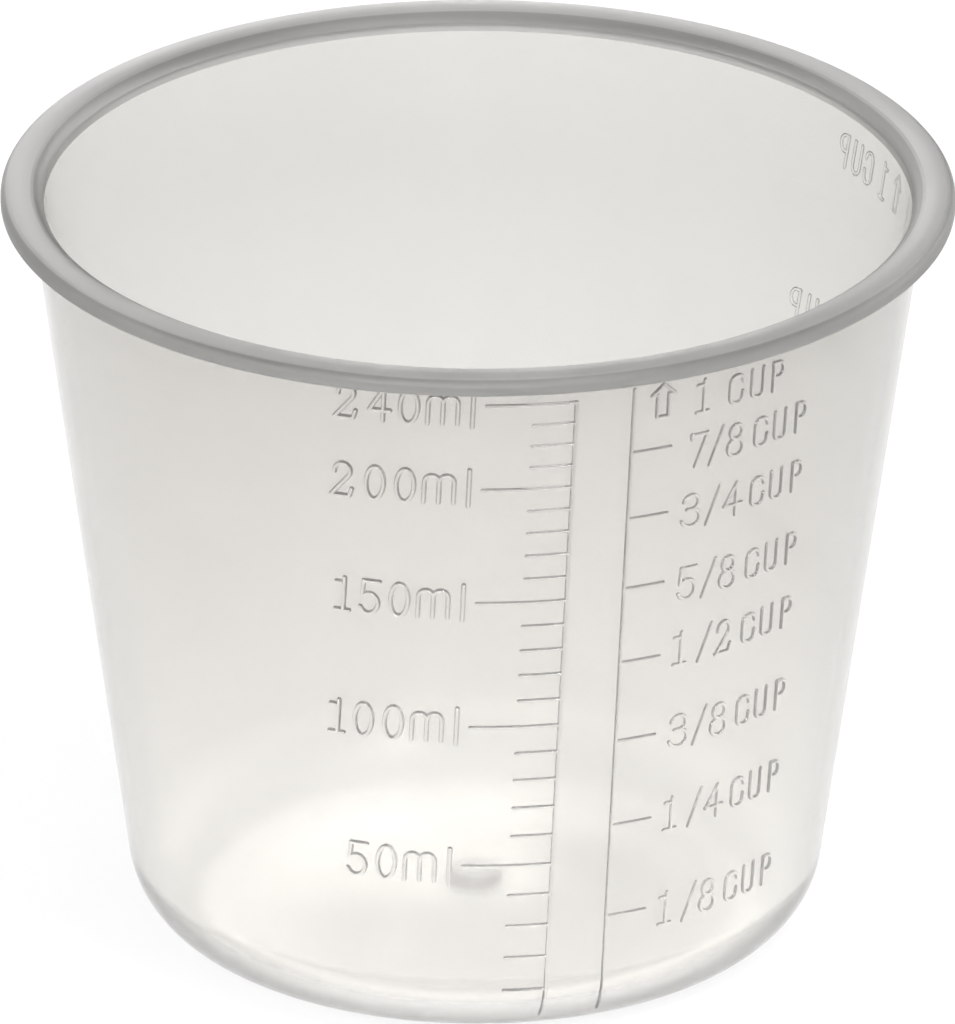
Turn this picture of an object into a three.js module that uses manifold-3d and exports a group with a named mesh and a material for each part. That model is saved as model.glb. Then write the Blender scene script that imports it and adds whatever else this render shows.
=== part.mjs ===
// Measuring cup of one cup, moulded in natural polypropylene: a tapered tumbler with a round-cornered
// floor, a beaded rim and raised scales on its wall. Millimetres, +Z up, and the origin is the middle
// of the foot, on the table. The blank strip between the two front scales faces -Y.
import * as THREE from 'three';
import { mergeVertices } from 'three/addons/utils/BufferGeometryUtils.js';
import Module from 'manifold-3d';

const wasm = await Module();
wasm.setup();

// The tapered wall
const cupHeight = 71.2;
const baseRadius = 30.45; // outside of the wall, carried down to the table
const draftAngle = 8; // degrees that the wall leans outwards
const wallThickness = 1.15;

// The floor, its round corner and the foot
const cornerRadius = 7.5;
const floorThickness = 1.6;
const floorRise = 1.4; // the middle of the floor stands this much higher than its edge
const footWidth = 2; // the flat ring that the cup stands on
const footDepth = 0.3; // step up from the foot to the underside of the floor

// The moulding gate in the middle of the floor
const bossRadius = 2.5;
const bossHeight = 0.9;
const bossRound = 0.45;
const dimpleRadius = 3;
const dimpleDepth = 0.5;
const vestigeRadius = 0.9;
const vestigeTipRadius = 0.6;
const vestigeHeight = 0.6;
const gateMargin = 0.3; // level floor left round the boss and the dimple

// The rim bead
const beadWidth = 3.65; // from the inside of the cup to the outside of the rim
const beadHeight = 1.75;
const bevelWidth = 1;
const bevelDrop = 0.95;
const bevelBulge = 0.16; // how far the bevel swells above a straight chamfer
const crownHeight = 0.06; // the top land is this much higher in its middle
const beadTopRound = 0.85;
const beadLowRound = 0.45;

// The raised scales
const ribWidth = 0.42;
const ribHeight = 0.28; // how far the marks stand out of the wall
const scaleGap = 5.36; // blank strip between the two front spines
const spineFoot = 2.7; // the spines run down the corner to this height
const shortTick = 4; // from the middle of the spine
const longTick = 8.25;
const cupClearance = 1.55; // from the one-cup mark up to the rim bead
const millilitreStep = 10;
const millilitreLong = 50; // a long tick at each multiple of this, and at the top
const cupDivisions = 8;
const thirdsDivisions = 3;
const thirdsAzimuth = 80; // degrees round from the blank strip to the spine of the thirds scale

// The outlined arrow beside the mark for one cup
const arrowOffset = 5.05; // from the middle of the blank strip to the middle of the arrow
const arrowHeight = 3.85;
const arrowHeadHeight = 1.55;
const arrowHeadWidth = 2.6;
const arrowShaftWidth = 1.5;
const arrowLine = 0.34;

// Facets
const roundSteps = 96;
const gateSteps = 32;
const cornerSteps = 7;
const floorSteps = 6;
const edgeSteps = 4;
const leastCorner = 0.5; // a tighter round corner than this isn't moulded inside
const samePoint = 1e-4; // points nearer together than this are one
const levelHalvings = 40;
const cubicMillimetres = 1000; // in a millilitre

const draft = THREE.MathUtils.degToRad(draftAngle);
const slope = Math.tan(draft);
const lean = Math.hypot(1, slope); // a wall's level thickness over its true thickness
const innerCorner = Math.max(cornerRadius - wallThickness, leastCorner);
const insideBase = baseRadius - wallThickness * lean;
const beadBottom = cupHeight - beadHeight;
const rimInside = insideBase + slope * cupHeight;
const footOuter = baseRadius + slope * cornerRadius - cornerRadius * lean;
const footInner = footOuter - footWidth;
const floorEdge = insideBase + slope * (floorThickness + innerCorner) - innerCorner * lean;
const floorFlat = Math.max(dimpleRadius, bossRadius) + gateMargin; // level patch for the gate
const floorTop = floorThickness + floorRise;
const undersideTop = footDepth + floorRise;
const dimpleRoof = undersideTop + dimpleDepth;
const wallSeam = Math.max(
  cornerRadius * (1 - Math.sin(draft)),
  floorThickness + innerCorner * (1 - Math.sin(draft)),
); // both faces of the wall are straight above this height

const vector = (radius, height) => new THREE.Vector2(radius, height);

// Outside of the wall, or of the marks that stand proud of it, at a height.
function wallRadius(height, proud = 0) {
  return baseRadius + proud * lean + slope * height;
}

// A quarter round from the level to the draft line, centred on (centreRadius, centreHeight).
function cornerArc(centreRadius, centreHeight, radius) {
  const points = [];
  for (let i = 0; i <= cornerSteps; i += 1) {
    const angle = -Math.PI / 2 + ((Math.PI / 2 - draft) * i) / cornerSteps;
    points.push(vector(centreRadius + radius * Math.cos(angle), centreHeight + radius * Math.sin(angle)));
  }
  return points;
}

// A floor that rises smoothly from its edge to the level patch in its middle, listed outwards.
function risingFloor(edgeRadius, edgeHeight) {
  const points = [];
  for (let i = 0; i < floorSteps; i += 1) {
    const share = i / floorSteps;
    const height = edgeHeight + (floorRise * (1 + Math.cos(Math.PI * share))) / 2;
    points.push(vector(floorFlat + (edgeRadius - floorFlat) * share, height));
  }
  return points;
}

// An arc of a profile from one angle to another, in radians from the outward level direction.
function edgeArc(centreRadius, centreHeight, radius, from, to) {
  const points = [];
  for (let i = 0; i <= edgeSteps; i += 1) {
    const angle = from + ((to - from) * i) / edgeSteps;
    points.push(vector(centreRadius + radius * Math.cos(angle), centreHeight + radius * Math.sin(angle)));
  }
  return points;
}

// Inside of the cup, from the middle of the floor to the top of the wall.
const insideProfile = [
  vector(0, floorTop),
  ...risingFloor(floorEdge, floorThickness),
  ...cornerArc(floorEdge, floorThickness + innerCorner, innerCorner),
  vector(insideBase + slope * wallSeam, wallSeam),
];

// Turns a profile about +Z. The profile runs anticlockwise, with the radius to the right.
function turned(profile, steps = roundSteps) {
  const geometry = new THREE.LatheGeometry(profile, steps);
  geometry.rotateX(Math.PI / 2);
  return geometry;
}

function closed(points) {
  return [...points, points[0].clone()];
}

// Drops repeated points, which would leave a ring of faces without area.
function distinct(points) {
  return points.filter((point, i) => i === 0 || point.distanceTo(points[i - 1]) > samePoint);
}

// A closed geometry as a solid that can be cut and joined.
function toSolid(geometry) {
  const bare = geometry.clone();
  bare.deleteAttribute('normal');
  bare.deleteAttribute('uv');
  const merged = mergeVertices(bare);
  const corners = merged.index.array;
  const faces = [];
  for (let i = 0; i < corners.length; i += 3) {
    const [a, b, c] = corners.slice(i, i + 3);
    if (a !== b && b !== c && c !== a) {
      faces.push(a, b, c);
    }
  }
  return new wasm.Manifold(new wasm.Mesh({
    numProp: 3,
    vertProperties: new Float32Array(merged.attributes.position.array),
    triVerts: new Uint32Array(faces),
  }));
}

function toGeometry(solid) {
  const { vertProperties, triVerts } = solid.getMesh();
  const geometry = new THREE.BufferGeometry();
  geometry.setAttribute('position', new THREE.BufferAttribute(vertProperties, 3));
  geometry.setIndex(new THREE.BufferAttribute(triVerts, 1));
  geometry.computeVertexNormals();
  return geometry;
}

// Millilitres that the cup holds when it is filled to a level on its straight wall or its corner.
function capacityAt(level) {
  const frustum = (low, high) => (Math.PI / 3) * (high.y - low.y)
    * (low.x * low.x + low.x * high.x + high.x * high.x);
  let volume = 0;
  let last = insideProfile[0];
  for (const point of insideProfile.slice(1)) {
    if (point.y > level && point.x > floorEdge) {
      const share = (level - last.y) / (point.y - last.y);
      return (volume + frustum(last, last.clone().lerp(point, share))) / cubicMillimetres;
    }
    volume += frustum(last, point);
    last = point;
  }
  return (volume + frustum(last, vector(insideBase + slope * level, level))) / cubicMillimetres;
}

// The level at which the cup holds a volume, found by halving.
function levelOf(millilitres) {
  let low = floorThickness;
  let high = cupHeight * 2;
  for (let i = 0; i < levelHalvings; i += 1) {
    const middle = (low + high) / 2;
    if (capacityAt(middle) < millilitres) {
      low = middle;
    } else {
      high = middle;
    }
  }
  return low;
}

// Tapered wall, level where it meets the base and the bead.
function makeWall() {
  return turned(closed([
    vector(wallRadius(wallSeam), wallSeam),
    vector(wallRadius(beadBottom), beadBottom),
    vector(insideBase + slope * beadBottom, beadBottom),
    vector(insideBase + slope * wallSeam, wallSeam),
  ]));
}

// Floor, round corner and foot in one bowl, hollowed under its raised middle.
function makeBase() {
  const underside = [
    vector(0, dimpleRoof),
    vector(dimpleRadius, dimpleRoof),
    vector(dimpleRadius, undersideTop),
    ...risingFloor(footInner, footDepth),
    vector(footInner, footDepth),
    vector(footInner, 0),
  ];
  const outside = [
    ...cornerArc(footOuter, cornerRadius, cornerRadius),
    vector(wallRadius(wallSeam), wallSeam),
  ];
  return turned(distinct([...underside, ...outside, ...insideProfile.toReversed()]));
}

// Rim: a bevel down to the inside, a flat land on top and a round outer edge that overhangs the wall.
function makeBead() {
  const outer = rimInside + beadWidth;
  const land = vector(rimInside + bevelWidth, cupHeight - crownHeight);
  const landEnd = vector(outer - beadTopRound, cupHeight - crownHeight);
  const bevelFoot = vector(insideBase + slope * (cupHeight - bevelDrop), cupHeight - bevelDrop);
  const low = edgeArc(outer - beadLowRound, beadBottom + beadLowRound, beadLowRound, -Math.PI / 2, 0);
  const top = edgeArc(landEnd.x, landEnd.y - beadTopRound, beadTopRound, 0, Math.PI / 2);
  const crown = vector((land.x + landEnd.x) / 2, cupHeight);
  const bevel = land.clone().add(bevelFoot).divideScalar(2);
  bevel.add(vector(-bevelBulge, bevelBulge).multiplyScalar(Math.SQRT1_2));
  return turned(distinct(closed([
    vector(wallRadius(beadBottom), beadBottom),
    ...low,
    ...top,
    crown,
    land,
    bevel,
    bevelFoot,
    vector(insideBase + slope * beadBottom, beadBottom),
  ])));
}

// Low round boss on the floor, over the gate.
function makeBoss() {
  const top = floorTop + bossHeight;
  return turned([
    vector(0, floorTop),
    vector(bossRadius, floorTop),
    ...edgeArc(bossRadius - bossRound, top - bossRound, bossRound, 0, Math.PI / 2),
    vector(0, top),
  ], gateSteps);
}

// Stub that the sheared gate leaves in the dimple under the floor.
function makeVestige() {
  return turned([
    vector(0, dimpleRoof - vestigeHeight),
    vector(vestigeTipRadius, dimpleRoof - vestigeHeight),
    vector(vestigeRadius, dimpleRoof),
    vector(0, dimpleRoof),
  ], gateSteps);
}

// The whole outside of the cup below the bead as one solid, or the same form grown by the mark height.
function outsideForm(proud) {
  return toSolid(turned([
    vector(0, -proud),
    ...cornerArc(footOuter, cornerRadius, cornerRadius + proud),
    vector(wallRadius(beadBottom, proud), beadBottom),
    vector(0, beadBottom),
  ]));
}

// The marks follow from the size of the cup: the full cup first, then the ticks below it.
const cupLevel = beadBottom - cupClearance;
const cupVolume = capacityAt(cupLevel);
const millilitreTop = Math.floor(cupVolume / millilitreStep) * millilitreStep;

const markSkin = outsideForm(ribHeight).subtract(outsideForm(0));
const markReach = 8; // how deep the cutters of the marks stand, well past the curve of the wall

// Carries a cutter drawn facing -Y at the middle of the cup out to its place round the wall.
function atWall(geometry, azimuth, offset, height) {
  const radius = wallRadius(height);
  geometry.translate(0, -radius, height);
  geometry.rotateZ(THREE.MathUtils.degToRad(azimuth) + offset / radius);
  return toSolid(geometry);
}

// Raised marks: the part of the skin round the wall that the cutters cover.
function raised(cutters) {
  return toGeometry(cutters.reduce((sum, cutter) => sum.add(cutter)).intersect(markSkin));
}

// A spine with a tick at each level. side is 1 where the ticks point to the reader's right.
function makeScale(azimuth, spineOffset, side, spineTop, ticks) {
  const spineHeight = spineTop - spineFoot;
  const spine = new THREE.BoxGeometry(ribWidth, markReach + slope * spineHeight, spineHeight);
  const spineRadius = wallRadius(spineFoot + spineHeight / 2);
  spine.translate(spineOffset, -spineRadius, spineFoot + spineHeight / 2);
  spine.rotateZ(THREE.MathUtils.degToRad(azimuth));
  const cutters = [toSolid(spine)];
  for (const { level, length } of ticks) {
    const tick = new THREE.BoxGeometry(length, markReach, ribWidth);
    cutters.push(atWall(tick, azimuth, spineOffset + (side * length) / 2, level));
  }
  return raised(cutters);
}

function millilitreTicks() {
  const ticks = [];
  for (let volume = millilitreStep; volume <= millilitreTop; volume += millilitreStep) {
    const long = volume % millilitreLong === 0 || volume === millilitreTop;
    ticks.push({ level: levelOf(volume), length: long ? longTick : shortTick });
  }
  return ticks;
}

function fractionTicks(divisions) {
  const ticks = [];
  for (let i = 1; i < divisions; i += 1) {
    ticks.push({ level: levelOf((cupVolume * i) / divisions), length: shortTick });
  }
  return ticks;
}

// Outline of the arrow with its foot at the origin, drawn in on all sides by an inset.
function arrowOutline(inset) {
  const flare = arrowHeadWidth / 2 / arrowHeadHeight;
  const tip = arrowHeight - inset * Math.hypot(1, 1 / flare);
  const neck = arrowHeight - arrowHeadHeight + inset;
  const barb = (tip - neck) * flare;
  const shaft = arrowShaftWidth / 2 - inset;
  const half = [[shaft, inset], [shaft, neck], [barb, neck], [0, tip]];
  const mirrored = half.slice(0, 3).toReversed().map(([x, y]) => [-x, y]);
  return [...half, ...mirrored].map(([x, y]) => vector(x, y));
}

// Outlined arrow that points up at the one-cup mark.
function makeArrow(topLevel) {
  const outline = new THREE.Shape(arrowOutline(0));
  outline.holes.push(new THREE.Path(arrowOutline(arrowLine)));
  const arrow = new THREE.ExtrudeGeometry(outline, { depth: markReach, bevelEnabled: false });
  arrow.translate(0, 0, -markReach / 2);
  arrow.rotateX(Math.PI / 2);
  arrow.translate(0, 0, -arrowHeight);
  return raised([atWall(arrow, 0, arrowOffset, topLevel)]);
}

const plastic = { color: 0xe3e1dc, roughness: 0.32, metalness: 0, transparent: true, opacity: 0.5 };
const rimPlastic = { ...plastic, color: 0xc9c8c6, opacity: 0.8 };
const markPlastic = { ...plastic, color: 0xcfcdc8, roughness: 0.28 };

const cup = new THREE.Group();

function addPiece(name, geometry, finish) {
  const piece = new THREE.Mesh(geometry, new THREE.MeshStandardMaterial(finish));
  piece.name = name;
  cup.add(piece);
}


addPiece('cup_wall', makeWall(), plastic);
addPiece('cup_base', makeBase(), plastic);
addPiece('rim_bead', makeBead(), rimPlastic);
addPiece('gate_boss', makeBoss(), plastic);
addPiece('gate_vestige', makeVestige(), plastic);
addPiece(
  'millilitre_scale',
  makeScale(0, -scaleGap / 2, -1, levelOf(millilitreTop) + ribWidth / 2, millilitreTicks()),
  markPlastic,
);
addPiece(
  'cup_scale',
  makeScale(0, scaleGap / 2, 1, cupLevel, fractionTicks(cupDivisions)),
  markPlastic,
);
addPiece(
  'thirds_scale',
  makeScale(thirdsAzimuth, 0, 1, cupLevel, fractionTicks(thirdsDivisions)),
  markPlastic,
);
addPiece('one_cup_arrow', makeArrow(cupLevel + ribWidth), markPlastic);

export default cup;
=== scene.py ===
"""A translucent measuring cup with raised scales, dressed over the frame of its solids.

The cup is one moulding of milky polypropylene. Its wall, base, rim, gate, scales and words are separate
pieces here, and they meet on seams that light passes without bending.
"""

import math

import bmesh
import bpy
import numpy as np
from bpy.props import FloatProperty, FloatVectorProperty, IntProperty, PointerProperty
from mathutils import Matrix, Vector


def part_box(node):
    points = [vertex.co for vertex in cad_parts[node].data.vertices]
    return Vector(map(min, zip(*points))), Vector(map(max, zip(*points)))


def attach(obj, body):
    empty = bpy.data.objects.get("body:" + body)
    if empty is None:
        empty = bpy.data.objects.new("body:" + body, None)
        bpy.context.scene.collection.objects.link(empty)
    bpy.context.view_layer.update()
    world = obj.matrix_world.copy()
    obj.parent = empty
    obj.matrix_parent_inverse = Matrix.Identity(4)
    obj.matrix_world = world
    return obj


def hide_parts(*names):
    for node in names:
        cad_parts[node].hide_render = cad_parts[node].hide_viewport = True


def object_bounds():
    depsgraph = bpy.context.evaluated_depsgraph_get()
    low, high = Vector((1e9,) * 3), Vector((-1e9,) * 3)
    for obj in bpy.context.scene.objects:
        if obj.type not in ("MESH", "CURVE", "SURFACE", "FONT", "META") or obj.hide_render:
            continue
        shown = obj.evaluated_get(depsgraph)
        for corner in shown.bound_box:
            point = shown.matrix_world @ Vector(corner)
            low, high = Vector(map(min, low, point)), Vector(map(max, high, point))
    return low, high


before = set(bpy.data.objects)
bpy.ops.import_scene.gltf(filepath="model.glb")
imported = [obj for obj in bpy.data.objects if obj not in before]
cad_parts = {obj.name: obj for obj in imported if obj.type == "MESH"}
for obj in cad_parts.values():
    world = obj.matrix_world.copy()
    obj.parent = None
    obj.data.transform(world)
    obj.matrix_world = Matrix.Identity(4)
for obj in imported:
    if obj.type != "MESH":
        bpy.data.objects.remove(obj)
cad_low, cad_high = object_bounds()

bl_info = {
    "name": "Measuring Cup",
    "version": (1, 0, 0),
    "blender": (4, 5, 0),
    "location": "3D View > Sidebar > Cup",
    "description": "Dresses the frame of a moulded measuring cup and lights it on a plain floor",
    "category": "Object",
}

# A millimetre in metres, and the millilitres in a cubic metre
MM = 0.001
MILLILITRES = 1e6
BODY = "root"

wall_low, wall_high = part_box("cup_wall")
_, base_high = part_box("cup_base")
bead_low, bead_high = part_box("rim_bead")
boss_low, boss_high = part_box("gate_boss")
stub_low, stub_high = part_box("gate_vestige")

# Material slots of the shell's pieces
SKIN = 0
SEAM = 1

# Fineness of the meshes, and how near a point has to be to lie on the skin
FLOOR_STEPS = 28
BEND_STEPS = 12
RING_STEPS = 28
LEVEL_STEPS = 1500
LINE_STEP = 0.9 * MM
TOUCHING = 1e-9
HEIGHT_TOLERANCE = 1e-7
SKIN_TOLERANCE = 0.012 * MM
FACING_OUT = 0.1
SHARP_ANGLE = math.radians(40)

# Light and grain of the plastic
REFRACTION = 1.49
CLOUD_SCALE = 90.0
CLOUD_DETAIL = 3.0
CLOUD_ROUGHNESS = 0.55
SPECKLE_SCALE = 900.0
SPECKLE_SHARE = 0.3
SHELL_CLOUD = 0.08
THIN_CLOUD = 0.015
HAZE_SPREAD = 0.3
RIPPLE = 0.02
RIPPLE_HEIGHT = 0.1 * MM
MARK_POLISH = 0.8
GATE_POLISH = 0.5
SEAM_SHADE = 0.98
SEAM_HAZE = 0.5

# Depths under the rim's top: the painted light of the land turns into the painted shade of the sides, and a
# thin line of painted shade runs there
LAND_LOW = 0.26 * MM
LAND_HIGH = 0.16 * MM
CREASE_DROP = 0.2 * MM
CREASE_REACH = 0.07 * MM
CREASE_SHADE = 0.7

# A raised line is shaded below its crest. The shade ends between these shares of its height, and each
# pair is the shade at the foot of the wall and at its top
FLANK_FROM = 0.8
FLANK_TO = 0.99
LETTER_SHADES = (0.9, 0.52)
FRACTION_SHADES = (1.0, 0.66)
SCALE_SHADES = (0.95, 0.75)


def length(label, value, note):
    """A size in metres that shows as a length in the panel."""
    unit = {"subtype": "DISTANCE", "unit": "LENGTH"}
    return FloatProperty(name=label, description=note, default=value, min=0, **unit)


def share(label, value, note):
    """A number from 0 to 1."""
    return FloatProperty(name=label, description=note, default=value, min=0, max=1, subtype="FACTOR")


def tint(label, value, note):
    """A colour."""
    span = {"size": 3, "min": 0, "max": 1}
    return FloatVectorProperty(name=label, description=note, default=value, subtype="COLOR", **span)


# What a user would change


class CupSizes(bpy.types.PropertyGroup):
    """Sizes of the turned shell. The frame gives its height, radii and draft."""

    wall: length("Wall", 1.15 * MM, "Thickness of the tapered wall")
    corner: length("Corner", 7.5 * MM, "Outside radius between the wall and the floor")
    floor: length("Floor", 1.6 * MM, "Thickness of the floor at its edge")
    rise: length("Rise", 1.4 * MM, "How far the middle of the floor stands above its edge")
    foot_width: length("Foot width", 2 * MM, "Width of the flat ring that the cup stands on")
    foot_depth: length("Foot depth", 0.3 * MM, "Step from the foot up to the underside")
    flat: length("Gate patch", 3.3 * MM, "Radius of the level patch in the middle of the floor")
    dimple: length("Dimple", 3 * MM, "Radius of the dimple under the gate")
    dimple_depth: length("Dimple depth", 0.5 * MM, "Depth of the dimple under the gate")
    boss_round: length("Boss round", 0.45 * MM, "Radius of the upper edge of the boss on the floor")
    stub_tip: length("Stub tip", 0.6 * MM, "Radius of the lower end of the gate stub")
    stub_round: length("Stub round", 0.06 * MM, "Radius of the lower edge of the gate stub")
    bevel: length("Bevel", 1 * MM, "Width of the bevel inside the rim")
    bevel_drop: length("Bevel drop", 0.95 * MM, "Height of the bevel inside the rim")
    bevel_bulge: length("Bevel bulge", 0.16 * MM, "How far the bevel swells above a straight chamfer")
    crown: length("Crown", 0.06 * MM, "How far the land on the rim rises in its middle")
    top_round: length("Rim round", 0.85 * MM, "Radius of the rim's upper outer edge")
    low_round: length("Lower rim round", 0.45 * MM, "Radius of the rim's lower outer edge")
    round_steps: IntProperty(name="Round steps", description="Facets round the cup", default=384, min=48)
    arc_steps: IntProperty(name="Arc steps", description="Facets along a rounded edge", default=14, min=3)


class MarkSizes(bpy.types.PropertyGroup):
    """Sizes of the raised scales and words."""

    line: length("Line", 0.42 * MM, "Width of a raised line of a scale")
    word_line: length("Letter line", 0.5 * MM, "Width of a raised line of a letter")
    height: length("Height", 0.26 * MM, "How far the lines stand out of the wall")
    fraction_height: length("Fraction height", 0.19 * MM, "How far the fractions stand out of the wall")
    arrow_line: length("Arrow line", 0.4 * MM, "Width of the line round the arrow")
    gap: length("Scale gap", 5.36 * MM, "Blank strip between the two front spines")
    short_tick: length("Short tick", 4 * MM, "Length of a short tick from the middle of its spine")
    long_tick: length("Long tick", 8.25 * MM, "Length of a long tick from the middle of its spine")
    millilitre_cap: length("Millilitre capitals", 3.35 * MM, "Height of the millilitre figures")
    cup_cap: length("Cup figures", 3.25 * MM, "Height of the figures beside the fractions")
    word_cap: length("Cup capitals", 2.88 * MM, "Height of the letters beside the fractions")
    flank: length("Flank", 0.13 * MM, "Width of the steep side of a raised line")
    sink: length("Seat", 0.015 * MM, "How deep a raised line is seated in the wall")


class CupFinish(bpy.types.PropertyGroup):
    """Colours and clearness of the plastic. Its tones carry painted light and shade: lighter at the foot
    and on the rim's land, darker under the rim, on the rim's sides and at the gate.
    """

    # Painted light and shade: one plastic, painted lighter at the foot and low on the wall, darker under
    # the rim
    lit_floor_tint: tint("Floor of the cup", (0.968, 0.957, 0.938), "Colour of the plastic at the foot")
    lit_plastic_low: tint("Low plastic", (0.918, 0.904, 0.878), "Colour of the wall just above the corner")
    shaded_plastic_high: tint("High plastic", (0.7, 0.688, 0.667), "Colour of the wall just under the rim")
    # Painted light and shade on the rim: the land on top is painted lighter, where light from above falls,
    # and the outer face and bevel darker
    shaded_rim_side: tint("Rim side", (0.245, 0.242, 0.236), "Colour of the rim's outer face")
    shaded_rim_bevel: tint("Rim bevel", (0.34, 0.336, 0.328), "Colour of the bevel inside the rim")
    rim_land: tint("Rim land", (0.61, 0.603, 0.59), "Colour of the flat land on top of the rim")
    # Painted shade: the boss and the stub are the floor's own plastic, painted darker for the shade seen
    # round the gate
    gate: tint("Gate", (0.66, 0.67, 0.675), "Colour of the boss and the stub at the gate")
    clearness: share("Clearness", 0.88, "Share of the light that passes without scattering")
    base_clearness: share("Base clearness", 0.93, "Share of the light that passes the floor")
    rim_clearness: share("Rim clearness", 0.85, "Share of the light that passes the rim's skin")
    polish: share("Haze", 0.12, "Roughness of the moulded skin")
    rim_haze: share("Rim haze", 0.42, "Roughness of the rim's skin")
    base_haze: share("Base haze", 0.18, "Roughness of the skin at the foot")


class StageLook(bpy.types.PropertyGroup):
    """Floor and light."""

    floor: tint("Floor", (0.95, 0.95, 0.95), "Colour of the floor that the cup stands on")
    room_light: share("Room light", 0.1, "Brightness of the room between the soft boxes")


def sizes():
    return bpy.context.scene.cup_sizes


def marks_sizes():
    return bpy.context.scene.cup_marks


def form_now():
    return Form(sizes())


# The turned form


class Form:
    """The cup's cross section, in metres, worked out from the frame and the sizes."""

    def __init__(self, sizes):
        self.s = sizes
        self.slope = (wall_high.x - base_high.x) / (wall_high.z - wall_low.z)
        self.draft = math.atan(self.slope)
        self.lean = math.hypot(1, self.slope)
        self.seam = wall_low.z
        self.bead_bottom = bead_low.z
        self.top = bead_high.z
        self.outside_base = base_high.x - self.slope * wall_low.z
        self.inside_base = self.outside_base - sizes.wall * self.lean
        self.inner_corner = sizes.corner - sizes.wall
        self.foot_outer = self.outside_base + self.slope * sizes.corner - sizes.corner * self.lean
        self.foot_inner = self.foot_outer - sizes.foot_width
        reach = self.slope * (sizes.floor + self.inner_corner)
        self.floor_edge = self.inside_base + reach - self.inner_corner * self.lean
        self.floor_top = sizes.floor + sizes.rise
        self.under_top = sizes.foot_depth + sizes.rise
        self.tangent = sizes.corner * (1 - math.sin(self.draft))

    def outside(self, height, proud=0):
        """Radius of the tapered outside at a height."""
        return self.outside_base + proud * self.lean + self.slope * height

    def inside(self, height):
        """Radius of the tapered inside at a height."""
        return self.inside_base + self.slope * height

    def across(self, height):
        """Points on the outside and the inside of the wall at a height."""
        return (self.outside(height), height), (self.inside(height), height)

    def skin(self, height):
        """Point (radius, height) on the outside and its outward direction, down into the corner."""
        if height >= self.tangent:
            return (self.outside(height), height), (math.cos(self.draft), -math.sin(self.draft))
        drop = min((self.s.corner - height) / self.s.corner, 1)
        reach = math.sqrt(1 - drop * drop)
        return (self.foot_outer + self.s.corner * reach, height), (reach, -drop)

    def arc(self, centre, radius, start, end, steps=None):
        """Points of an arc in the cross section, angles in radians from straight outwards."""
        steps = steps or self.s.arc_steps
        turns = [start + (end - start) * i / steps for i in range(steps + 1)]
        return [(centre[0] + radius * math.cos(t), centre[1] + radius * math.sin(t)) for t in turns]

    def inside_corner(self):
        """The round corner inside the cup, from the floor up to the wall."""
        centre = (self.floor_edge, self.s.floor + self.inner_corner)
        return self.arc(centre, self.inner_corner, -math.pi / 2, -self.draft)

    def swell(self, edge_radius, edge_height):
        """Floor that rises smoothly from its edge to the level patch, listed outwards."""
        rows = []
        for i in range(FLOOR_STEPS + 1):
            part = i / FLOOR_STEPS
            height = edge_height + self.s.rise * (1 + math.cos(math.pi * part)) / 2
            rows.append((self.s.flat + (edge_radius - self.s.flat) * part, height))
        return rows


def bulged(start, end, bulge):
    """Points from start to end of a line whose middle stands off by the vector bulge."""
    rows = []
    for i in range(sizes().arc_steps + 1):
        part = i / sizes().arc_steps
        off = math.sin(math.pi * part)
        rows.append(tuple(a + (b - a) * part + c * off for a, b, c in zip(start, end, bulge)))
    return rows


def joined_runs(runs):
    """Points of all runs, the slot of each link, and whether a run starts at each point."""
    section, slots, sharp = [], [], []
    for points, slot in runs:
        for index, point in enumerate(points):
            if section and math.dist(section[-1], point) < TOUCHING:
                sharp[-1] = sharp[-1] or index == 0
                continue
            if section:
                slots.append(slot)
            section.append(point)
            sharp.append(index == 0)
    return section, slots, sharp


def turned(name, runs, materials, steps):
    """Turns runs of points about the cup's axis. A run is (points, slot), and runs join end to end.

    The cross section goes anticlockwise with the radius to the right, so the faces point outwards.
    """
    section, slots, sharp = joined_runs(runs)
    closed = math.dist(section[0], section[-1]) < TOUCHING
    if closed:
        section.pop()
        sharp[0] = True
    rows, vertices = [], []
    for radius, height in section:
        if radius < TOUCHING:
            rows.append([len(vertices)] * steps)
            vertices.append((0, 0, height))
            continue
        rows.append(list(range(len(vertices), len(vertices) + steps)))
        for i in range(steps):
            angle = 2 * math.pi * i / steps
            vertices.append((radius * math.sin(angle), -radius * math.cos(angle), height))
    faces, face_slots = [], []
    for k in range(len(section) if closed else len(section) - 1):
        low, high = rows[k], rows[(k + 1) % len(rows)]
        for i in range(steps):
            j = (i + 1) % steps
            corners = [low[i], low[j], high[j], high[i]]
            corners = [c for n, c in enumerate(corners) if c != corners[n - 1]]
            if len(corners) > 2:
                faces.append(corners)
                face_slots.append(slots[k])
    mesh = bpy.data.meshes.new(name)
    for material in materials:
        mesh.materials.append(material)
    mesh.from_pydata(vertices, [], faces)
    mesh.polygons.foreach_set("material_index", face_slots)
    mesh.shade_smooth()
    mesh.update()
    creases = set()
    for row in (row for row, edge in zip(rows, sharp) if edge):
        creases |= {tuple(sorted((row[i], row[(i + 1) % steps]))) for i in range(steps)}
    flags = [tuple(sorted(edge.vertices)) in creases for edge in mesh.edges]
    mesh.attributes.new("sharp_edge", "BOOLEAN", "EDGE").data.foreach_set("value", flags)
    return mesh


# Node graphs


class Wire:
    """A socket in a node graph. Python arithmetic on it adds Math nodes."""

    def __init__(self, graph, socket):
        self.graph = graph
        self.socket = socket

    def __add__(self, other):
        return self.graph.maths("ADD", self, other)

    def __radd__(self, other):
        return self.graph.maths("ADD", other, self)

    def __sub__(self, other):
        return self.graph.maths("SUBTRACT", self, other)

    def __rsub__(self, other):
        return self.graph.maths("SUBTRACT", other, self)

    def __mul__(self, other):
        return self.graph.maths("MULTIPLY", self, other)

    def __rmul__(self, other):
        return self.graph.maths("MULTIPLY", other, self)

    def larger(self, other):
        return self.graph.maths("MAXIMUM", self, other)


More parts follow.
